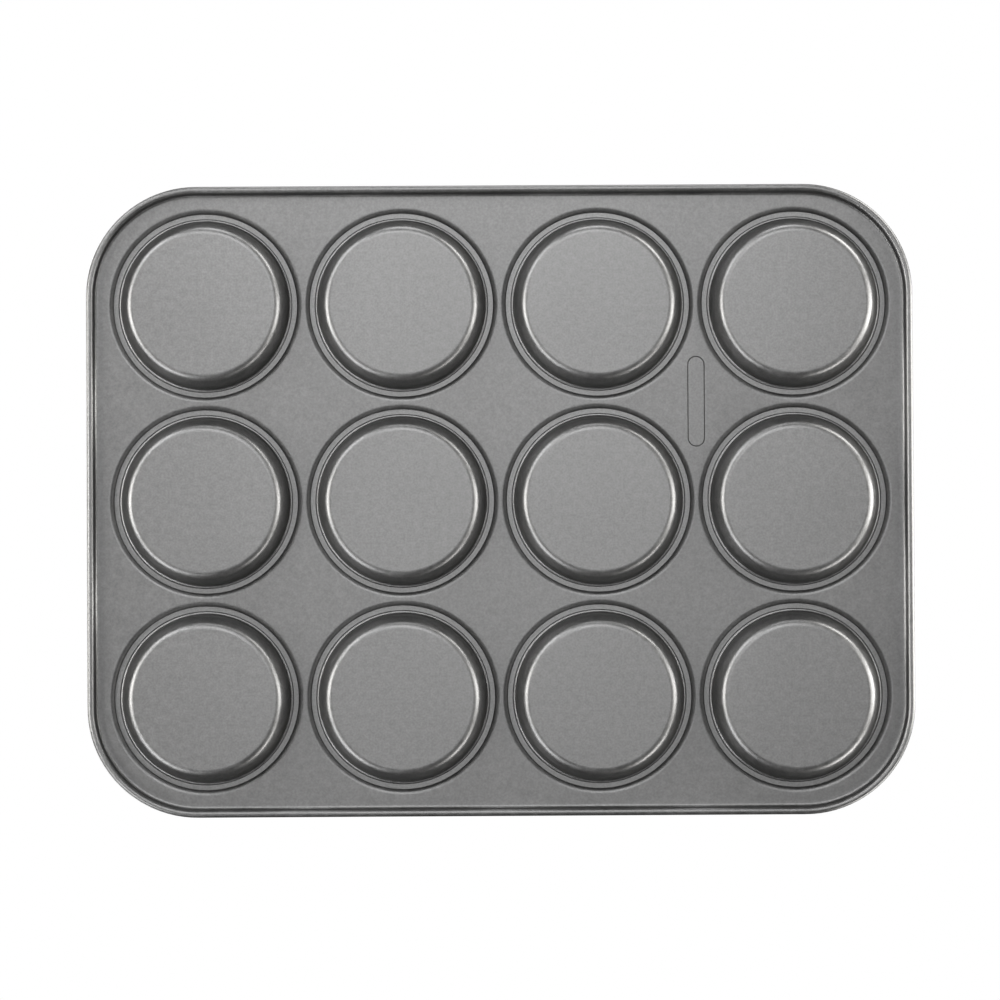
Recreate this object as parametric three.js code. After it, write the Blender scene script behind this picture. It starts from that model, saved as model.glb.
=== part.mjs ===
// A shallow twelve-cup muffin tin: a pressed deck plate with a wired rim, and
// twelve drawn cups, each hooked by its flange over a collar in the deck.
//
// Millimetres, +Z up, with the cups' mouths up. The origin is on the surface
// that the cups stand on, at the centre of the outline. X runs along the
// longer side.

import * as THREE from 'three';
import { mergeVertices } from 'three/addons/utils/BufferGeometryUtils.js';

// ---------------------------------------------------------------- dimensions

// Outline and sheet
const LENGTH = 400;
const WIDTH = 305;
const CORNER_RADIUS = 53.3;
const SHEET = 0.7;
const CLEARANCE = 0.3;

// Cup grid
const COLUMNS = 4;
const ROWS = 3;
const PITCH = 95.2;

// Deck plate
const DECK_UNDERSIDE = 11.6;
const DECK_TOP = DECK_UNDERSIDE + SHEET;

// Collar round each hole: the sheet bends up towards the hole
const COLLAR_FOOT_RADIUS = 47.15;
const COLLAR_BEND = 2.6;
const COLLAR_ANGLE = 76;

// Cup
const BASE_FLAT_RADIUS = 33.2;
const BASE_FILLET = 4.5;
const WALL_DRAFT = 18.5;
const LIP_RADIUS = 0.6;
const FLANGE_HOOK_ANGLE = 15;

// Rim: the border bends down and rolls outwards round a wire
const RIM_BEND = 1.9;
const RIM_WALL = 1.7;
const ROLL_INSIDE_RADIUS = 1.25;
const ROLL_ANGLE = 290;
const WIRE_RADIUS = 0.9;
const WIRE_BUTT_GAP = 1;

// Blank pressed panel between four cups
const PANEL_LENGTH = 44;
const PANEL_WIDTH = 8.4;
const PANEL_RISE = 0.4;
const PANEL_BEVEL = 0.8;
const PANEL_CENTRE = new THREE.Vector2(PITCH, -PITCH / 2);

// Colours
const DECK_GREY = 0x828384;
const CUP_GREY = 0x8c8d8e;
const WIRE_GREY = 0xa6a8aa;

// Facets
const CUP_FACETS = 24;
const CORNER_FACETS = 8;
const RIM_BEND_FACETS = 3;
const ROLL_FACETS = 8;
const COLLAR_FACETS = 3;
const FILLET_FACETS = 2;
const WIRE_FACETS = 8;
const PANEL_END_FACETS = 6;

// ------------------------------------------------------------------ geometry

const radians = THREE.MathUtils.degToRad;

// Points closer than this become one.
const MERGE_DISTANCE = 1e-4;

// Points on an arc in the (across, up) plane, from one angle to another.
function arc(across, up, radius, fromDegrees, toDegrees, facets) {
  const points = [];
  for (let i = 0; i <= facets; i += 1) {
    const angle = radians(fromDegrees + ((toDegrees - fromDegrees) * i) / facets);
    points.push(new THREE.Vector2(across + radius * Math.cos(angle), up + radius * Math.sin(angle)));
  }
  return points;
}

// A circle of points round a vertical axis, anticlockwise from above.
function circle(centre, radius, height) {
  const loop = [];
  for (let i = 0; i < CUP_FACETS; i += 1) {
    const angle = (2 * Math.PI * i) / CUP_FACETS;
    loop.push(new THREE.Vector3(
      centre.x + radius * Math.cos(angle),
      centre.y + radius * Math.sin(angle),
      height,
    ));
  }
  return loop;
}

// Stations along the outline: the arc centre that each one turns about, and
// the direction that it faces. They start at the (+X, +Y) corner.
function outlineStations() {
  const corners = [[1, 1, 0], [-1, 1, 90], [-1, -1, 180], [1, -1, 270]];
  const stations = [];
  for (const [alongX, alongY, start] of corners) {
    for (let i = 0; i <= CORNER_FACETS; i += 1) {
      stations.push({
        x: alongX * (LENGTH / 2 - CORNER_RADIUS),
        y: alongY * (WIDTH / 2 - CORNER_RADIUS),
        facing: radians(start + (90 * i) / CORNER_FACETS),
      });
    }
  }
  return stations;
}

// The point of a station that lies a given distance in from the outline.
function atStation(station, inset, height) {
  const reach = CORNER_RADIUS - inset;
  return new THREE.Vector3(
    station.x + reach * Math.cos(station.facing),
    station.y + reach * Math.sin(station.facing),
    height,
  );
}

// The blank panel's outline, drawn in by an inset, anticlockwise from above.
function panelLoop(inset, height) {
  const radius = PANEL_WIDTH / 2;
  const reach = PANEL_LENGTH / 2 - radius;
  const ends = [...arc(0, reach, radius - inset, 0, 180, PANEL_END_FACETS),
    ...arc(0, -reach, radius - inset, 180, 360, PANEL_END_FACETS)];
  return ends.map((p) => new THREE.Vector3(PANEL_CENTRE.x + p.x, PANEL_CENTRE.y + p.y, height));
}

// A closed skin gathered from triangles.
class Skin {
  constructor() {
    this.positions = [];
  }

  triangle(a, b, c) {
    this.positions.push(a.x, a.y, a.z, b.x, b.y, b.z, c.x, c.y, c.z);
  }

  // Joins two closed rows of points. The face looks along the cross product of
  // the rows' own direction and the way from the first row to the second.
  strip(first, second) {
    for (let i = 0; i < first.length; i += 1) {
      const next = (i + 1) % first.length;
      this.triangle(first[i], first[next], second[next]);
      this.triangle(first[i], second[next], second[i]);
    }
  }

  strips(rows) {
    for (let i = 0; i + 1 < rows.length; i += 1) {
      this.strip(rows[i], rows[i + 1]);
    }
  }

  // A level face with holes, looking up or down.
  level(outer, holes, looksUp) {
    const all = [outer, ...holes].flat();
    for (const [i, j, k] of THREE.ShapeUtils.triangulateShape(outer, holes)) {
      const turn = (all[j].x - all[i].x) * (all[k].y - all[i].y)
        - (all[j].y - all[i].y) * (all[k].x - all[i].x);
      if (turn > 0 === looksUp) {
        this.triangle(all[i], all[j], all[k]);
      } else {
        this.triangle(all[i], all[k], all[j]);
      }
    }
  }

  geometry() {
    const loose = new THREE.BufferGeometry();
    loose.setAttribute('position', new THREE.Float32BufferAttribute(this.positions, 3));
    const joined = mergeVertices(loose, MERGE_DISTANCE);
    joined.computeVertexNormals();
    return joined;
  }
}

// ---------------------------------------------------------------------- rim

// The rim's centre line: it leaves the flat deck, bends down, and rolls out
// under the wire, up its outer side and back over the top. across is measured
// in from the outline.
const rollSheetRadius = ROLL_INSIDE_RADIUS + SHEET;
const wireInset = rollSheetRadius;
const wireHeight = DECK_UNDERSIDE - RIM_BEND - RIM_WALL;
const rimFlatInset = 2 * rollSheetRadius + RIM_BEND;

// One side of the rim's section, from the flat deck to the sheet's cut edge.
function rimFace(bendRadius, rollRadius) {
  const bend = arc(rimFlatInset, DECK_UNDERSIDE - RIM_BEND, bendRadius, 90, 180, RIM_BEND_FACETS);
  const roll = arc(wireInset, wireHeight, rollRadius, 0, -ROLL_ANGLE, ROLL_FACETS);
  return [...bend, ...roll];
}

function rimSection() {
  const underside = rimFace(RIM_BEND, rollSheetRadius);
  const topside = rimFace(RIM_BEND + SHEET, ROLL_INSIDE_RADIUS);
  return [...underside, ...topside.reverse()];
}

// --------------------------------------------------------------- deck plate

function collarLoops(centre) {
  const pivot = DECK_UNDERSIDE + COLLAR_BEND;
  const face = (radius, from, to) => arc(COLLAR_FOOT_RADIUS, pivot, radius, from, to, COLLAR_FACETS);
  const topside = face(COLLAR_BEND - SHEET, -90, -90 - COLLAR_ANGLE);
  const underside = face(COLLAR_BEND, -90 - COLLAR_ANGLE, -90);
  return [...topside, ...underside].map((p) => circle(centre, p.x, p.y));
}

function addPanel(skin) {
  const top = [panelLoop(0, DECK_TOP), panelLoop(PANEL_BEVEL, DECK_TOP + PANEL_RISE)];
  const bottom = [
    panelLoop(PANEL_BEVEL, DECK_UNDERSIDE + PANEL_RISE),
    panelLoop(0, DECK_UNDERSIDE),
  ];
  skin.strips(top);
  skin.strips(bottom);
  skin.level(top[1], [], true);
  skin.level(bottom[0], [], false);
  return { top: top[0], bottom: bottom[1] };
}

function deckGeometry(centres) {
  const skin = new Skin();
  const stations = outlineStations();
  const rim = rimSection().map((p) => stations.map((s) => atStation(s, p.x, p.y)));
  const collars = centres.map((centre) => collarLoops(centre));
  const panel = addPanel(skin);
  skin.strips(rim);
  collars.forEach((loops) => skin.strips(loops));
  skin.level(rim.at(-1), [...collars.map((loops) => loops[0]), panel.top], true);
  skin.level(rim[0], [...collars.map((loops) => loops.at(-1)), panel.bottom], false);
  return skin.geometry();
}

// ----------------------------------------------------------------- rim wire

// A wire bent round the whole outline, its ends butted on the +Y side.
function wireGeometry() {
  const skin = new Skin();
  const butt = (side) => ({
    x: (side * WIRE_BUTT_GAP) / 2,
    y: WIDTH / 2 - CORNER_RADIUS,
    facing: radians(90),
  });
  const corners = outlineStations();
  const firstCorner = corners.splice(0, CORNER_FACETS + 1);
  const stations = [butt(-1), ...corners, ...firstCorner, butt(1)];
  const section = arc(wireInset, wireHeight, WIRE_RADIUS, 0, -360, WIRE_FACETS).slice(0, -1);
  const rings = stations.map((s) => section.map((p) => atStation(s, p.x, p.y)));
  skin.strips(rings.reverse());
  addWireEnd(skin, rings[0], true);
  addWireEnd(skin, rings.at(-1), false);
  return skin.geometry();
}

function addWireEnd(skin, ring, first) {
  for (let i = 1; i + 1 < ring.length; i += 1) {
    const [second, third] = first ? [i + 1, i] : [i, i + 1];
    skin.triangle(ring[0], ring[second], ring[third]);
  }
}

// --------------------------------------------------------------------- cups

// The cup's section on one side of the sheet: base, fillet, wall, lip, level
// flange, a crown over the collar's top edge, and a hook down behind it. offset
// is how far the face lies above the underside.
function cupFace(offset) {
  const tilt = 90 - WALL_DRAFT;
  const hookPivot = DECK_UNDERSIDE + COLLAR_BEND;
  const collarReach = COLLAR_BEND - SHEET;
  const collarEdge = new THREE.Vector2(
    COLLAR_FOOT_RADIUS - collarReach * Math.sin(radians(COLLAR_ANGLE)),
    hookPivot - collarReach * Math.cos(radians(COLLAR_ANGLE)),
  );
  const flangeHeight = collarEdge.y + CLEARANCE;
  const wallFoot = new THREE.Vector2(
    BASE_FLAT_RADIUS + BASE_FILLET * Math.sin(radians(tilt)),
    BASE_FILLET * (1 - Math.cos(radians(tilt))),
  );
  const lipHeight = flangeHeight - LIP_RADIUS;
  const lipStart = lipHeight + LIP_RADIUS * Math.sin(radians(WALL_DRAFT));
  const lipCentre = wallFoot.x + (lipStart - wallFoot.y) * Math.tan(radians(WALL_DRAFT))
    + LIP_RADIUS * Math.cos(radians(WALL_DRAFT));
  const fillet = arc(BASE_FLAT_RADIUS, BASE_FILLET, BASE_FILLET - offset, -90, -90 + tilt, FILLET_FACETS);
  const lip = arc(lipCentre, lipHeight, LIP_RADIUS + offset, 180 - WALL_DRAFT, 90, 1);
  const crownTop = new THREE.Vector2(collarEdge.x, flangeHeight + offset);
  const hook = arc(COLLAR_FOOT_RADIUS, hookPivot, collarReach - CLEARANCE - offset,
    -90 - COLLAR_ANGLE, -90 - FLANGE_HOOK_ANGLE, 1);
  return [new THREE.Vector2(0, offset), ...fillet, ...lip, crownTop, ...hook];
}

function cupGeometry() {
  const section = [...cupFace(0), ...cupFace(SHEET).reverse()];
  return new THREE.LatheGeometry(section, CUP_FACETS).rotateX(Math.PI / 2);
}

// ----------------------------------------------------------------- assembly

function coated(color) {
  return new THREE.MeshStandardMaterial({ color, roughness: 0.45, metalness: 0.55 });
}

function wireSteel() {
  return new THREE.MeshStandardMaterial({ color: WIRE_GREY, roughness: 0.35, metalness: 1 });
}

function named(name, geometry, material) {
  const mesh = new THREE.Mesh(geometry, material);
  mesh.name = name;
  return mesh;
}

// Row 1 is at +Y and column 1 at -X.
function cupPlaces() {
  const places = [];
  for (let row = 0; row < ROWS; row += 1) {
    for (let column = 0; column < COLUMNS; column += 1) {
      places.push({
        name: `cup_r${row + 1}c${column + 1}`,
        centre: new THREE.Vector2(
          (column - (COLUMNS - 1) / 2) * PITCH,
          ((ROWS - 1) / 2 - row) * PITCH,
        ),
      });
    }
  }
  return places;
}

function muffinTin() {
  const tin = new THREE.Group();
  const places = cupPlaces();
  tin.add(named('deck_plate', deckGeometry(places.map((place) => place.centre)), coated(DECK_GREY)));
  tin.add(named('rim_wire', wireGeometry(), wireSteel()));
  for (const place of places) {
    const cup = named(place.name, cupGeometry(), coated(CUP_GREY));
    cup.position.set(place.centre.x, place.centre.y, 0);
    tin.add(cup);
  }
  return tin;
}

export default muffinTin();
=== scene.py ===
"""A shallow twelve-cup muffin tin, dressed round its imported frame.

The tin stands the right way up on the floor, cup mouths up, and the camera
looks at its underside from below. Sections are in millimetres and turn into
metres where a mesh is made.
"""

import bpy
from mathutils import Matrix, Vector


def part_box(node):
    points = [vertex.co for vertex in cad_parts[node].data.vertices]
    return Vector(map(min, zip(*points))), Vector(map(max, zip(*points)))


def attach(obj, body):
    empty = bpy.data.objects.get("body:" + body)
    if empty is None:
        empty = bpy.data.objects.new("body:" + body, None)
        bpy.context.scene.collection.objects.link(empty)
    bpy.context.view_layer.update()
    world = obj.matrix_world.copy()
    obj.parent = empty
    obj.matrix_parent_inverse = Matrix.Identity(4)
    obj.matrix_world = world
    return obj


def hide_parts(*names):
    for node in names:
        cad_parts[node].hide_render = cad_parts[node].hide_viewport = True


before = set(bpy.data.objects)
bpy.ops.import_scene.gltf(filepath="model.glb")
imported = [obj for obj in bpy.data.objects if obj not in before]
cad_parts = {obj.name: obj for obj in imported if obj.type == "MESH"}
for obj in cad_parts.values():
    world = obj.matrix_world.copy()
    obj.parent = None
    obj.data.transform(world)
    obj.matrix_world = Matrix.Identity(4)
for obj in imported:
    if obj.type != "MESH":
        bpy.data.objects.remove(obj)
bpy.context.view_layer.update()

import math

import bmesh
import bpy
from mathutils import Quaternion, Vector
from mathutils.geometry import tessellate_polygon

MM = 0.001


# ------------------------------------------------------------- dimensions, mm

DECK_LOW, DECK_HIGH = [Vector(corner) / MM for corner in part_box("deck_plate")]
LENGTH = DECK_HIGH.x - DECK_LOW.x
WIDTH = DECK_HIGH.y - DECK_LOW.y
CORNER_RADIUS = 53.3
SHEET = 0.7

# Collar round each hole, and the cup's flange hooked over it
COLLAR_FOOT_RADIUS = 47.15
COLLAR_BEND = 2.8
COLLAR_ANGLE = 71.7
COLLAR_REACH = COLLAR_BEND - SHEET
COLLAR_RISE = COLLAR_BEND - COLLAR_REACH * math.cos(math.radians(COLLAR_ANGLE))
SEAM_GAP = 0.1
FLANGE_HOOK_ANGLE = 12

DECK_UNDERSIDE = DECK_HIGH.z - COLLAR_RISE
DECK_TOP = DECK_UNDERSIDE + SHEET

# Rim: the border bends down and rolls outwards round the wire
RIM_BEND = 1.7
RIM_WALL = 1.9
ROLL_INSIDE_RADIUS = 1.05
ROLL_RADIUS = ROLL_INSIDE_RADIUS + SHEET
ROLL_ANGLE = 305
RIM_FLAT_INSET = 2 * ROLL_RADIUS + RIM_BEND
WIRE_HEIGHT = DECK_UNDERSIDE - RIM_BEND - RIM_WALL
WIRE_RADIUS = 0.98
WIRE_BUTT_GAP = 0.6

# Cup
BASE_FLAT_RADIUS = 33.7
BASE_FILLET = 4.0
BASE_CROWN = 0.12
WALL_TILT_LOW = 60
WALL_TILT_HIGH = 84
LIP_RADIUS = 1.1
SCORE_RADIUS = 41.98
SCORE_HALF_WIDTH = 0.21
SCORE_DEPTH = 0.5

# Blank pressed panel between four cups
PANEL_LENGTH = 44
PANEL_WIDTH = 8.4
PANEL_RISE = 0.25
PANEL_EDGE_LINE = ((0.0, 0.0), (0.24, 0.55), (0.48, PANEL_RISE))
PANEL_BEVEL = 0.8

# How finely the meshes are cut: steps round a cup and along each bend
CUP_STEPS = 96
QUARTER = CUP_STEPS // 4
WIRE_STEPS = 20
RIM_BEND_STEPS = 12
ROLL_STEPS = 32
COLLAR_STEPS = 10
FILLET_STEPS = 9
SECTION_STEPS = 8
PANEL_END_STEPS = 16
PANEL_BEVEL_STEPS = 6
BASE_SHARES = (0, 0.25, 0.5, 0.75, 0.9)
CELL_SHARES = (0.25, 0.5, 0.75, 1)

# A support row this close to a bend keeps the flat beside it flat
SUPPORT = 0.12
# A sheet's cut edge bulges by this share of the sheet, at these shares across it
EDGE_BULGE = 0.18
EDGE_SHARES = (0.22, 0.5, 0.78)
# Points nearer than this are one point
MERGE_DISTANCE = 0.002
# How far bowed_in bows a run, and the sine of the least turn that ends a run
BOW = 0.01
LEAST_TURN = 0.01
# How near the outline's own lines a point counts as on them
ON_LINE = 0.01
SEARCH_STEPS = 50
# Edges that turn by more degrees than this are shaded sharp
SHARP_ANGLE = 50

CUP_NAMES = sorted(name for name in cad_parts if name.startswith("cup_"))
CUP_CENTRES = {
    name: sum((Vector(corner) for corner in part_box(name)), Vector()) / 2 / MM
    for name in CUP_NAMES
}
COLUMN_X = sorted({round(centre.x, 2) for centre in CUP_CENTRES.values()})
ROW_Y = sorted({round(centre.y, 2) for centre in CUP_CENTRES.values()})
PITCH = COLUMN_X[1] - COLUMN_X[0]
PANEL_CENTRE = ((COLUMN_X[-1] + COLUMN_X[-2]) / 2, (ROW_Y[0] + ROW_Y[1]) / 2)
# The four cups round the panel have their centres this near it in x and in y
PANEL_REACH = PITCH / 2 + 1
# An outward way with more y than this belongs to the rim's straight +Y side
STRAIGHT_Y = 0.999


# -------------------------------------------------------------------- sections

def arc(across, up, radius, start, end, steps):
    """Points on an arc in a section, from one angle in degrees to another."""
    points = []
    for i in range(steps + 1):
        angle = math.radians(start + (end - start) * i / steps)
        points.append((across + radius * math.cos(angle), up + radius * math.sin(angle)))
    return points


def edge_round(before, after, out):
    """Three points that round a sheet's cut edge from one face to the other.

    out is the way the sheet was heading where it was cut.
    """
    bulge = SHEET * EDGE_BULGE
    points = []
    for share in EDGE_SHARES:
        reach = bulge * (1 - abs(2 * share - 1) ** 3)
        points.append((
            before[0] + (after[0] - before[0]) * share + out[0] * reach,
            before[1] + (after[1] - before[1]) * share + out[1] * reach,
        ))
    return points


def rim_face(bend_radius, roll_radius):
    """One face of the rim's sheet: down round the bend, then round the wire."""
    bend_up = DECK_UNDERSIDE - RIM_BEND
    bend = arc(RIM_FLAT_INSET, bend_up, bend_radius, 90, 180, RIM_BEND_STEPS)
    roll = arc(ROLL_RADIUS, WIRE_HEIGHT, roll_radius, 0, -ROLL_ANGLE, ROLL_STEPS)
    return bend + roll


def rim_section():
    """The rim's closed section as (inset from the outline, height)."""
    underside = rim_face(RIM_BEND, ROLL_RADIUS)
    topside = rim_face(RIM_BEND + SHEET, ROLL_INSIDE_RADIUS)
    topside.reverse()
    end = math.radians(-ROLL_ANGLE)
    heading = (math.sin(end), -math.cos(end))
    cut = edge_round(underside[-1], topside[0], heading)
    return underside + cut + topside


def collar_section():
    """The collar from the deck's top, round the hole's edge, to its underside."""
    pivot = DECK_UNDERSIDE + COLLAR_BEND
    topside = arc(COLLAR_FOOT_RADIUS, pivot, COLLAR_REACH,
                  -90, -90 - COLLAR_ANGLE, COLLAR_STEPS)
    underside = arc(COLLAR_FOOT_RADIUS, pivot, COLLAR_BEND,
                    -90 - COLLAR_ANGLE, -90, COLLAR_STEPS)
    slope = math.radians(COLLAR_ANGLE)
    cut = edge_round(topside[-1], underside[0], (-math.cos(slope), math.sin(slope)))
    return topside + cut + underside


def cup_face(offset):
    """One face of the cup's sheet, from the base's centre to the flange's edge.

    offset is 0 for the underside and SHEET for the topside. The wall curves from
    the base's fillet to the lip. The level flange runs out over the collar's edge,
    turns down round it and hooks back towards the deck. A fine scored line runs
    round the flange's underside beside the lip.
    """
    low, high = math.radians(WALL_TILT_LOW), math.radians(WALL_TILT_HIGH)
    pivot = DECK_UNDERSIDE + COLLAR_BEND
    collar_slope = math.radians(COLLAR_ANGLE)
    collar_edge_r = COLLAR_FOOT_RADIUS - COLLAR_REACH * math.sin(collar_slope)
    rest = DECK_HIGH.z + SEAM_GAP
    fillet_up = BASE_FILLET + BASE_CROWN
    lip_rise = LIP_RADIUS * (1 - math.cos(high))
    wall_rise = rest - lip_rise - fillet_up + BASE_FILLET * math.cos(low)
    wall_radius = wall_rise / (math.cos(low) - math.cos(high))
    wall_r = BASE_FLAT_RADIUS - (wall_radius - BASE_FILLET) * math.sin(low)
    wall_up = fillet_up + (wall_radius - BASE_FILLET) * math.cos(low)
    lip_r = wall_r + (wall_radius + LIP_RADIUS) * math.sin(high)
    base = []
    for share in BASE_SHARES:
        base.append((BASE_FLAT_RADIUS * share, offset + BASE_CROWN * share ** 2))
    base.append((BASE_FLAT_RADIUS - SUPPORT, offset + BASE_CROWN))
    fillet = arc(BASE_FLAT_RADIUS, fillet_up, BASE_FILLET - offset,
                 -90, -90 + WALL_TILT_LOW, FILLET_STEPS)
    wall = arc(wall_r, wall_up, wall_radius - offset,
               -90 + WALL_TILT_LOW, -90 + WALL_TILT_HIGH, SECTION_STEPS)
    lip = arc(lip_r, rest - LIP_RADIUS, LIP_RADIUS + offset,
              90 + WALL_TILT_HIGH, 90, SECTION_STEPS)
    flange = [(collar_edge_r - SUPPORT, rest + offset)]
    if offset == 0:
        score = [(SCORE_RADIUS - SCORE_HALF_WIDTH, rest),
                 (SCORE_RADIUS, rest + SCORE_DEPTH),
                 (SCORE_RADIUS + SCORE_HALF_WIDTH, rest),
                 (SCORE_RADIUS + SCORE_HALF_WIDTH + SUPPORT, rest)]
        flange = score + flange
    crown = arc(collar_edge_r, DECK_HIGH.z, SEAM_GAP + offset,
                90, 90 - COLLAR_ANGLE, SECTION_STEPS)
    hook = arc(COLLAR_FOOT_RADIUS, pivot, COLLAR_REACH - SEAM_GAP - offset,
               -90 - COLLAR_ANGLE, -90 - FLANGE_HOOK_ANGLE, SECTION_STEPS)
    return base + fillet + wall[1:] + lip[1:] + flange + crown + hook[1:]


def cup_section():
    """The cup's closed section as (radius from its axis, height)."""
    underside = cup_face(0)
    topside = cup_face(SHEET)
    topside.reverse()
    slope = math.radians(FLANGE_HOOK_ANGLE)
    cut = edge_round(underside[-1], topside[0], (math.cos(slope), -math.sin(slope)))
    return underside + cut + topside


# ---------------------------------------------------------------- mesh making

class Skin:
    """Points and faces gathered into one mesh; shared points are joined."""

    def __init__(self):
        self.places = {}
        self.points = []
        self.faces = []

    def point(self, place):
        key = tuple(round(value, 4) for value in place)
        if key not in self.places:
            self.places[key] = len(self.points)
            self.points.append(Vector(place) * MM)
        return self.places[key]

    def face(self, *corners):
        """Adds a face, unless so many of its corners are one that none is left."""
        ids = []
        for corner in corners:
            spot = self.point(corner)
            if spot not in ids:
                ids.append(spot)
        if len(ids) > 2:
            self.faces.append(ids)

    def strips(self, rows):
        """Joins each closed row of points to the next with quads."""
        for first, second in zip(rows, rows[1:]):
            for i in range(len(first)):
                after = (i + 1) % len(first)
                self.face(first[i], first[after], second[after], second[i])

    def piece(self, name, material):
        """Makes the mesh, smooth but for its sharp edges, and its object."""
        mesh = bpy.data.meshes.new(name)
        mesh.from_pydata([tuple(point) for point in self.points], [], self.faces)
        work = bmesh.new()
        work.from_mesh(mesh)
        bmesh.ops.remove_doubles(work, verts=work.verts, dist=MERGE_DISTANCE * MM)
        work.to_mesh(mesh)
        work.free()
        mesh.validate()
        mesh.shade_smooth()
        mesh.set_sharp_from_angle(angle=math.radians(SHARP_ANGLE))
        mesh.materials.append(material)
        piece = bpy.data.objects.new(name, mesh)
        bpy.context.scene.collection.objects.link(piece)
        return piece


def ring(centre, radius, height):
    """A level circle of points, anticlockwise from above."""
    points = []
    for i in range(CUP_STEPS):
        angle = 2 * math.pi * i / CUP_STEPS
        points.append((
            centre.x + radius * math.cos(angle),
            centre.y + radius * math.sin(angle),
            height,
        ))
    return points


# ------------------------------------------------------------------ deck plate

def on_outline(x, y):
    """The outline's station for a point: its arc centre and outward way."""
    reach_x = LENGTH / 2 - CORNER_RADIUS
    reach_y = WIDTH / 2 - CORNER_RADIUS
    pivot = Vector((max(-reach_x, min(reach_x, x)), max(-reach_y, min(reach_y, y))))
    way = Vector((x, y)) - pivot
    return pivot, way.normalized()


def at_station(station, inset, height):
    """The point at a station, an inset in from the outline."""
    pivot, way = station
    place = pivot + way * (CORNER_RADIUS - inset)
    return (place.x, place.y, height)


def ray_to_flat_edge(centre, way):
    """How far a ray from a cup's centre runs before it meets the flat's edge."""
    near, far = 0.0, LENGTH
    for _ in range(SEARCH_STEPS):
        middle = (near + far) / 2
        x = centre.x + way.x * middle
        y = centre.y + way.y * middle
        pivot, _way = on_outline(x, y)
        inside = (Vector((x, y)) - pivot).length < CORNER_RADIUS - RIM_FLAT_INSET
        near, far = (middle, far) if inside else (near, middle)
    return near


def cell_edge(centre):
    """Where a cup's rays meet its cell's edge, as (x, y, whether on the rim's side).

    A cell is a square one pitch across, drawn out to the rim's flat edge on
    its outer sides.
    """
    half = PITCH / 2
    edge = []
    for i in range(CUP_STEPS):
        angle = 2 * math.pi * i / CUP_STEPS
        way = Vector((math.cos(angle), math.sin(angle)))
        reach = half / max(abs(way.x), abs(way.y))
        x = centre.x + way.x * reach
        y = centre.y + way.y * reach
        outer_x = abs(abs(x) - half * len(COLUMN_X)) < ON_LINE
        outer_y = abs(abs(y) - half * len(ROW_Y)) < ON_LINE
        in_corner = abs(x) > COLUMN_X[-1] - ON_LINE and abs(y) > ROW_Y[-1] - ON_LINE
        if in_corner:
            reach = ray_to_flat_edge(centre, way)
            x = centre.x + way.x * reach
            y = centre.y + way.y * reach
        elif outer_x:
            x = math.copysign(LENGTH / 2 - RIM_FLAT_INSET, x)
        elif outer_y:
            y = math.copysign(WIDTH / 2 - RIM_FLAT_INSET, y)
        edge.append((x, y, outer_x or outer_y))
    return edge


def way_to_panel(centre):
    """The way from a cup's centre to the panel's, or None if they aren't neighbours."""
    way_x = PANEL_CENTRE[0] - centre.x
    way_y = PANEL_CENTRE[1] - centre.y
    if abs(way_x) > PANEL_REACH or abs(way_y) > PANEL_REACH:
        return None
    return way_x, way_y


def beside_panel(centre, index):
    """Whether a cell's ray points into the gap that holds the panel."""
    way = way_to_panel(centre)
    if way is None:
        return False
    quarter = {(True, True): 0, (False, True): 1, (False, False): 2, (True, False): 3}
    start = quarter[(way[0] > 0, way[1] > 0)] * QUARTER
    return start <= index < start + QUARTER


def cell_rows(centre, height):
    """Rows of points from the collar's foot out to the cell's edge."""
    edge = cell_edge(centre)
    foot = ring(centre, COLLAR_FOOT_RADIUS, height)
    rows = [foot, ring(centre, COLLAR_FOOT_RADIUS + SUPPORT, height)]
    for share in CELL_SHARES:
        rows.append([
            (a[0] + (b[0] - a[0]) * share, a[1] + (b[1] - a[1]) * share, height)
            for a, b in zip(rows[1], edge)
        ])
    return rows


def add_cell_flat(skin, centre, height, looks_up):
    """Adds a cell's flat, less the quarter beside the panel, and gives its rows."""
    rows = cell_rows(centre, height)
    for first, second in zip(rows, rows[1:]):
        for i in range(CUP_STEPS):
            if beside_panel(centre, i):
                continue
            after = (i + 1) % CUP_STEPS
            corners = [first[i], first[after], second[after], second[i]]
            if looks_up:
                corners.reverse()
            skin.face(*corners)
    return rows


def panel_loop(inset, height):
    """The panel's outline, drawn in by an inset, anticlockwise from above."""
    radius = PANEL_WIDTH / 2
    reach = PANEL_LENGTH / 2 - radius
    ends = []
    for middle, start in ((reach, 0), (-reach, 180)):
        ends += arc(0, middle, radius - inset, start, start + 180, PANEL_END_STEPS)
    return [(PANEL_CENTRE[0] + x, PANEL_CENTRE[1] + y, height) for x, y in ends]


def panel_gap_edge(cells):
    """The edge of the gap that holds the panel, anticlockwise from above."""
    around = []
    for centre, rows in cells:
        way = way_to_panel(centre)
        if way is not None:
            around.append((math.atan2(-way[1], -way[0]), centre, rows))
    around.sort(key=lambda entry: entry[0])
    edge = []
    for _angle, centre, rows in around:
        indices = [i for i in range(CUP_STEPS) if beside_panel(centre, i)]
        first, last = indices[0], (indices[-1] + 1) % CUP_STEPS
        walk_in = [row[last] for row in reversed(rows)]
        along = [rows[0][i] for i in reversed(indices[1:])]
        walk_out = [row[first] for row in rows]
        edge += walk_in + along + walk_out[:-1]
    return edge


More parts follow.
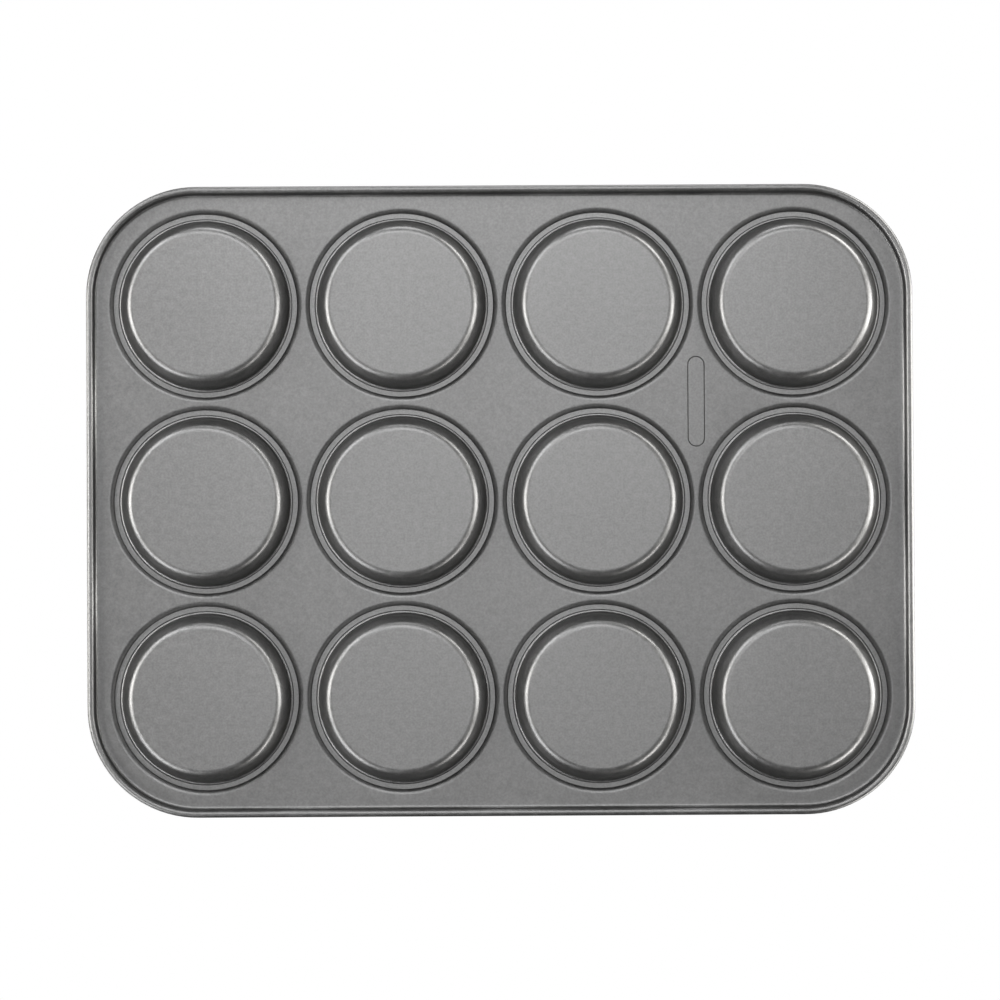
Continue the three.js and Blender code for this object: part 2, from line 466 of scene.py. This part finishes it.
def bowed_in(loop):
    """A loop whose straight runs are bowed in by a hair.

    Triangles that are found on it use every point of each run.
    """
    count = len(loop)

    def turns(index):
        before, here, after = (loop[(index + step) % count] for step in (-1, 0, 1))
        first, second = (here - before).normalized(), (after - here).normalized()
        return abs(first.cross(second).z) > LEAST_TURN

    area = sum(a.cross(b).z for a, b in zip(loop, loop[1:] + loop[:1]))
    side = math.copysign(BOW, area)
    bowed = [place.copy() for place in loop]
    corners = [i for i in range(count) if turns(i)]
    for first, last in zip(corners, corners[1:] + [corners[0] + count]):
        start, run = loop[first], loop[last % count] - loop[first]
        inward = Vector((-run.y, run.x, 0)).normalized()
        for index in range(first + 1, last):
            share = (loop[index % count] - start).length / run.length
            bowed[index % count] += inward * side * 4 * share * (1 - share)
    return bowed


def fill_level(skin, outer, holes, looks_up):
    """Fills a level region, less its holes, with triangles.

    They are found, and turned the right way, on the bowed outer loop.
    """
    loops = [[Vector(place) for place in loop] for loop in (outer, *holes)]
    everything = [place for loop in loops for place in loop]
    loops[0] = bowed_in(loops[0])
    bowed = [place for loop in loops for place in loop]
    for i, j, k in tessellate_polygon(loops):
        turn = (bowed[j] - bowed[i]).cross(bowed[k] - bowed[i]).z
        if (turn > 0) != looks_up:
            j, k = k, j
        skin.face(*(tuple(everything[index]) for index in (i, j, k)))


def panel_rows(height, looks_up):
    """The panel's edge: a soft step on the top, a sharp line on the underside."""
    if not looks_up:
        return [panel_loop(inset, height + rise) for inset, rise in PANEL_EDGE_LINE]
    rows = []
    for i in range(PANEL_BEVEL_STEPS + 1):
        share = i / PANEL_BEVEL_STEPS
        rise = PANEL_RISE * (1 - math.cos(math.pi * share)) / 2
        rows.append(panel_loop(PANEL_BEVEL * share, height + rise))
    return rows


def add_panel(skin, cells, height, looks_up):
    """Adds one face of the panel and of the flat round it."""
    rows = panel_rows(height, looks_up)
    width = PANEL_BEVEL if looks_up else PANEL_EDGE_LINE[-1][0]
    support = panel_loop(-SUPPORT, height)
    inner = panel_loop(width + SUPPORT, height + PANEL_RISE)
    rows = [support, *rows, inner]
    skin.strips(rows if looks_up else rows[::-1])
    fill_level(skin, inner, [], looks_up)
    fill_level(skin, panel_gap_edge(cells), [support], looks_up)


def rim_stations():
    """Stations for the flat's edge points, once each, round the outline."""
    found = {}
    for centre in CUP_CENTRES.values():
        for x, y, outer in cell_edge(centre):
            if outer:
                found[(round(x, 4), round(y, 4))] = (x, y)
    ordered = sorted(found.values(), key=lambda spot: math.atan2(spot[1], spot[0]))
    return [on_outline(x, y) for x, y in ordered]


def deck_plate(material):
    """The deck's two faces, the collars between them and the rim round them."""
    skin = Skin()
    for height, looks_up in ((DECK_TOP, True), (DECK_UNDERSIDE, False)):
        cells = []
        for centre in CUP_CENTRES.values():
            cells.append((centre, add_cell_flat(skin, centre, height, looks_up)))
        add_panel(skin, cells, height, looks_up)
    for centre in CUP_CENTRES.values():
        skin.strips([ring(centre, r, z) for r, z in collar_section()])
    stations = rim_stations()
    skin.strips([[at_station(s, inset, z) for s in stations] for inset, z in rim_section()])
    return skin.piece("deck_plate_sheet", material)


# ------------------------------------------------------------- cups and wire

def drawn_cup(name, centre, material):
    skin = Skin()
    skin.strips([ring(centre, r, z) for r, z in cup_section()])
    return skin.piece(name + "_sheet", material)


def rim_wire(material):
    """The wire, run round the outline from one side of its butt to the other."""
    skin = Skin()
    stations = rim_stations()
    top = WIDTH / 2 - CORNER_RADIUS
    start = next(i for i, (pivot, way) in enumerate(stations)
                 if way.y > STRAIGHT_Y and abs(pivot.x) < PITCH / 2 and pivot.x < 0)
    stations = stations[start:] + stations[:start]
    stations = [s for s in stations
                if not (s[1].y > STRAIGHT_Y and abs(s[0].x) < WIRE_BUTT_GAP)]
    butt = [(Vector((side * WIRE_BUTT_GAP / 2, top)), Vector((0, 1))) for side in (-1, 1)]
    stations = [butt[0], *stations, butt[1]]
    section = arc(ROLL_RADIUS, WIRE_HEIGHT, WIRE_RADIUS, 0, -360, WIRE_STEPS)[:-1]
    rows = [[at_station(s, inset, z) for inset, z in section] for s in stations]
    skin.strips(rows[::-1])
    skin.face(*rows[0])
    skin.face(*reversed(rows[-1]))
    return skin.piece("rim_wire_round", material)


# ------------------------------------------------------------------- materials

# Cups and deck wear one coating: the deck's grey is painted darker as painted shade, and
# the cups' grey lighter as painted light
DECK_GREY_PAINTED_SHADE = (0.199, 0.199, 0.199)
CUP_GREY_PAINTED_LIGHT = (0.219, 0.219, 0.219)
WIRE_GREY = (0.55, 0.56, 0.57)
WHITE_PAPER = (0.6, 0.6, 0.6)
COATING_TINT = (0.5, 0.5, 0.5, 1)

# Sizes in metres of the coating's mottle, fleck and patches, the wire's grain
# and the floor's clouding, and the heights of the reliefs
MOTTLE_SIZE = 0.0032
FLECK_SIZE = 0.001
PATCH_SIZE = 0.05
WIRE_GRAIN_SIZE = 0.0004
CLOUD_SIZE = 0.3
COATING_RELIEF = 0.00002
WIRE_RELIEF = 0.00001

# Most noise lies in this range
NOISE_LOW = 0.3
NOISE_HIGH = 0.7

# How far from the middle the floor starts to fade out, and is gone, in metres
FLOOR_FADE_START = 0.75
FLOOR_FADE_END = 1.3


class Nodes:
    """A short way to write a material's node tree."""

    def __init__(self, name):
        self.material = bpy.data.materials.new(name)
        self.material.use_nodes = True
        self.tree = self.material.node_tree
        self.shader = self.tree.nodes["Principled BSDF"]

    def add(self, kind, **settings):
        node = self.tree.nodes.new(kind)
        for key, value in settings.items():
            setattr(node, key, value)
        return node

    def link(self, source, target):
        self.tree.links.new(source, target)

    def place(self, scale):
        """Positions on the object, in units of scale metres."""
        where = self.add("ShaderNodeTexCoord")
        mapping = self.add("ShaderNodeMapping")
        mapping.inputs["Scale"].default_value = (1 / scale,) * 3
        self.link(where.outputs["Object"], mapping.inputs["Vector"])
        return mapping.outputs["Vector"]

    def noise(self, size, detail):
        """Noise whose features are about size metres across."""
        noise = self.add("ShaderNodeTexNoise")
        noise.inputs["Scale"].default_value = 1.0
        noise.inputs["Detail"].default_value = detail
        noise.inputs["Roughness"].default_value = 0.5
        self.link(self.place(size), noise.inputs["Vector"])
        return noise.outputs["Fac"]

    def spread(self, source, to_low, to_high, low=NOISE_LOW, high=NOISE_HIGH):
        """source remapped from low..high to to_low..to_high."""
        node = self.add("ShaderNodeMapRange")
        node.inputs["From Min"].default_value = low
        node.inputs["From Max"].default_value = high
        node.inputs["To Min"].default_value = to_low
        node.inputs["To Max"].default_value = to_high
        self.link(source, node.inputs["Value"])
        return node.outputs["Result"]

    def maths(self, operation, first, second):
        node = self.add("ShaderNodeMath", operation=operation)
        self.link(first, node.inputs[0])
        self.link(second, node.inputs[1])
        return node.outputs["Value"]

    def tint(self, strength, colour):
        """colour multiplied by a strength that varies over the surface."""
        node = self.add("ShaderNodeMix", data_type="RGBA", blend_type="MULTIPLY")
        node.inputs["Factor"].default_value = 1.0
        node.inputs["A"].default_value = (*colour, 1)
        self.link(strength, node.inputs["B"])
        return node.outputs["Result"]

    def bump(self, height, distance):
        """Relief up to distance metres high."""
        node = self.add("ShaderNodeBump")
        node.inputs["Distance"].default_value = distance
        node.inputs["Strength"].default_value = 1.0
        self.link(height, node.inputs["Height"])
        return node.outputs["Normal"]


def coated_steel(name, colour):
    """Satin dark-grey non-stick coating with a fine mottled metallic fleck."""
    look = Nodes(name)
    mottle = look.noise(MOTTLE_SIZE, 2.0)
    fleck = look.noise(FLECK_SIZE, 1.0)
    patch = look.noise(PATCH_SIZE, 1.0)
    tone = look.maths("ADD", look.spread(mottle, 0.93, 1.07),
                      look.spread(fleck, -0.09, 0.09))
    tone = look.maths("MULTIPLY", tone, look.spread(patch, 0.98, 1.02))
    look.link(look.tint(tone, colour), look.shader.inputs["Base Color"])
    look.link(look.spread(mottle, 0.39, 0.45), look.shader.inputs["Roughness"])
    look.shader.inputs["Metallic"].default_value = 1.0
    look.shader.inputs["Specular Tint"].default_value = COATING_TINT
    grain = look.maths("ADD", fleck, mottle)
    look.link(look.bump(grain, COATING_RELIEF), look.shader.inputs["Normal"])
    return look.material


def drawn_wire(name):
    """Plain steel wire with a fine grain."""
    look = Nodes(name)
    grain = look.noise(WIRE_GRAIN_SIZE, 3.0)
    tone = look.spread(grain, 0.85, 1.1)
    look.link(look.tint(tone, WIRE_GREY), look.shader.inputs["Base Color"])
    look.link(look.spread(grain, 0.28, 0.45), look.shader.inputs["Roughness"])
    look.shader.inputs["Metallic"].default_value = 1.0
    look.link(look.bump(grain, WIRE_RELIEF), look.shader.inputs["Normal"])
    return look.material


def pale_floor(name):
    """A matt pale floor that shows only from above and fades out to the white air."""
    look = Nodes(name)
    look.shader.inputs["Roughness"].default_value = 0.9
    tone = look.spread(look.noise(CLOUD_SIZE, 2.0), 0.98, 1.0)
    look.link(look.tint(tone, WHITE_PAPER), look.shader.inputs["Base Color"])
    side = look.add("ShaderNodeNewGeometry")
    clear = look.add("ShaderNodeBsdfTransparent")
    mix = look.add("ShaderNodeMixShader")
    away = look.add("ShaderNodeVectorMath", operation="LENGTH")
    look.link(look.place(1.0), away.inputs[0])
    fade = look.spread(away.outputs["Value"], 0.0, 1.0, FLOOR_FADE_START, FLOOR_FADE_END)
    look.link(look.maths("MAXIMUM", side.outputs["Backfacing"], fade), mix.inputs["Fac"])
    look.link(look.shader.outputs["BSDF"], mix.inputs[1])
    look.link(clear.outputs["BSDF"], mix.inputs[2])
    output = look.tree.nodes["Material Output"]
    look.link(mix.outputs["Shader"], output.inputs["Surface"])
    return look.material


# ------------------------------------------------------------------------ stage

# Lengths are in metres from here on
FLOOR_HALF = 1.5
FLOOR_DROP = 0.0002


def floor():
    """A pale square a hair under the tin that neither shades it nor lights it."""
    half = FLOOR_HALF
    mesh = bpy.data.meshes.new("floor")
    corners = [(-half, -half, 0), (half, -half, 0), (half, half, 0), (-half, half, 0)]
    mesh.from_pydata(corners, [], [(0, 1, 2, 3)])
    mesh.materials.append(pale_floor("floor_paint"))
    piece = bpy.data.objects.new("floor", mesh)
    bpy.context.scene.collection.objects.link(piece)
    piece.location.z = -FLOOR_DROP
    piece.visible_shadow = False
    piece.visible_diffuse = False
    piece.visible_glossy = False


STUDIO_RADIUS = 1.6
SOFTBOX_SIDE = 0.8
# How bright the lamps above the tin are, against the ones below
ABOVE_SHARE = 0.75
# What the tin mirrors where there's no lamp, and what the camera sees behind it
AIR_STRENGTH = 0.045
PAPER_STRENGTH = 1.0
WARM = (1.0, 0.985, 0.955)
NEUTRAL = (1.0, 1.0, 1.0)

# Softboxes that light each face of the tin: the way they stand in degrees round
# from +X towards -Y, their tilt off the vertical, and how bright they are.
FACE_LIGHTS = (
    ("key_left", 180, 60, 9.5, WARM),
    ("key_right", 0, 60, 6.5, WARM),
    ("head_left", 135, 60, 5.5, NEUTRAL),
    ("head", 90, 30, 4.0, NEUTRAL),
    ("foot_left", 225, 60, 5.5, NEUTRAL),
    ("front", 90, 0, 2.0, NEUTRAL),
)
# Softboxes level with the tin, which light its edges and both faces.
LEVEL_LIGHTS = (
    ("edge_right", 0, 10.5, WARM),
    ("edge_head_right", 45, 9.5, WARM),
    ("edge_head", 90, 4.5, NEUTRAL),
    ("edge_foot_right", 315, 7.5, WARM),
)


def softbox(name, way, radiance, colour):
    """A square lamp on the studio's sphere that faces the tin."""
    data = bpy.data.lights.new(name, "AREA")
    data.shape = "SQUARE"
    data.size = SOFTBOX_SIDE
    data.energy = math.pi * SOFTBOX_SIDE ** 2 * radiance
    data.color = colour
    lamp = bpy.data.objects.new(name, data)
    bpy.context.scene.collection.objects.link(lamp)
    lamp.location = way * STUDIO_RADIUS
    lamp.rotation_euler = (-way).to_track_quat("-Z", "Y").to_euler()
    lamp.visible_camera = False


def direction(azimuth, tilt, side):
    """A unit vector at an azimuth, tilted off the vertical, below (-1) or above (1).

    An azimuth turns from +X towards -Y, as seen in the camera's picture.
    """
    around, off = math.radians(azimuth), math.radians(tilt)
    return Vector((math.cos(around) * math.sin(off), -math.sin(around) * math.sin(off),
                   side * math.cos(off)))


def studio():
    """The same rig below the tin and above it, so that both faces are lit alike."""
    for side, word, share in ((-1, "below", 1.0), (1, "above", ABOVE_SHARE)):
        for name, azimuth, tilt, radiance, colour in FACE_LIGHTS:
            way = direction(azimuth, tilt, side)
            softbox(f"{name}_{word}", way, radiance * share, colour)
    for name, azimuth, radiance, colour in LEVEL_LIGHTS:
        softbox(name, direction(azimuth, 90, 1), radiance, colour)
    world = bpy.data.worlds.new("studio_air")
    world.use_nodes = True
    tree = world.node_tree
    air = tree.nodes["Background"]
    air.inputs["Color"].default_value = (1, 1, 1, 1)
    air.inputs["Strength"].default_value = AIR_STRENGTH
    paper = tree.nodes.new("ShaderNodeBackground")
    paper.inputs["Color"].default_value = (1, 1, 1, 1)
    paper.inputs["Strength"].default_value = PAPER_STRENGTH
    path = tree.nodes.new("ShaderNodeLightPath")
    mix = tree.nodes.new("ShaderNodeMixShader")
    tree.links.new(path.outputs["Is Camera Ray"], mix.inputs["Fac"])
    tree.links.new(air.outputs["Background"], mix.inputs[1])
    tree.links.new(paper.outputs["Background"], mix.inputs[2])
    tree.links.new(mix.outputs["Shader"], tree.nodes["World Output"].inputs["Surface"])
    bpy.context.scene.world = world
    bpy.context.scene.view_settings.view_transform = "Standard"


CAMERA_DISTANCE = 1.4
# How wide the picture is at the deck's underside
FRAME_WIDTH = 0.4848
SENSOR_WIDTH_MM = 36
CAMERA_CLIP_END = 20
# What the camera looks at on the deck, how far off the upright it stands, and
# how many degrees it is rolled
CAMERA_AIM = (-0.00022, -0.00017)
CAMERA_OFFSET = (-0.005, 0.019)
CAMERA_ROLL = 0.315


def camera():
    """Below the tin, looking up, with -Y towards the top of the picture."""
    data = bpy.data.cameras.new("camera")
    data.sensor_width = SENSOR_WIDTH_MM
    data.lens = data.sensor_width * CAMERA_DISTANCE / FRAME_WIDTH
    data.clip_end = CAMERA_CLIP_END
    eye = bpy.data.objects.new("camera", data)
    bpy.context.scene.collection.objects.link(eye)
    middle = Vector((*CAMERA_AIM, DECK_UNDERSIDE * MM))
    eye.location = middle + Vector((*CAMERA_OFFSET, -CAMERA_DISTANCE))
    aim = middle - eye.location
    turn = aim.to_track_quat("-Z", "Y")
    eye.rotation_mode = "QUATERNION"
    eye.rotation_quaternion = turn
    bpy.context.view_layer.update()
    up = turn @ Vector((0, 1, 0))
    want = Vector((0, -1, 0))
    off = math.atan2(up.cross(want).dot(aim.normalized()), up.dot(want))
    roll = Quaternion(aim.normalized(), off + math.radians(CAMERA_ROLL))
    eye.rotation_quaternion = roll @ turn
    bpy.context.scene.camera = eye


# --------------------------------------------------------------------- assembly

def dress():
    """Makes every piece and gives it its body and the node it replaces."""
    # The deck's coating carries painted shade and the cups' coating carries painted light;
    # both are one coating
    deck_look_painted_shade = coated_steel("deck_coating_painted_shade", DECK_GREY_PAINTED_SHADE)
    cup_look_painted_light = coated_steel("cup_coating_painted_light", CUP_GREY_PAINTED_LIGHT)
    wire_look = drawn_wire("wire_steel")
    pieces = [(deck_plate(deck_look_painted_shade), "deck_plate", "deck"),
              (rim_wire(wire_look), "rim_wire", "wire")]
    for name, centre in CUP_CENTRES.items():
        pieces.append((drawn_cup(name, centre, cup_look_painted_light), name, "cup"))
    for piece, node, slot in pieces:
        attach(piece, "root")
        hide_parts(node)


dress()
floor()
studio()
camera()
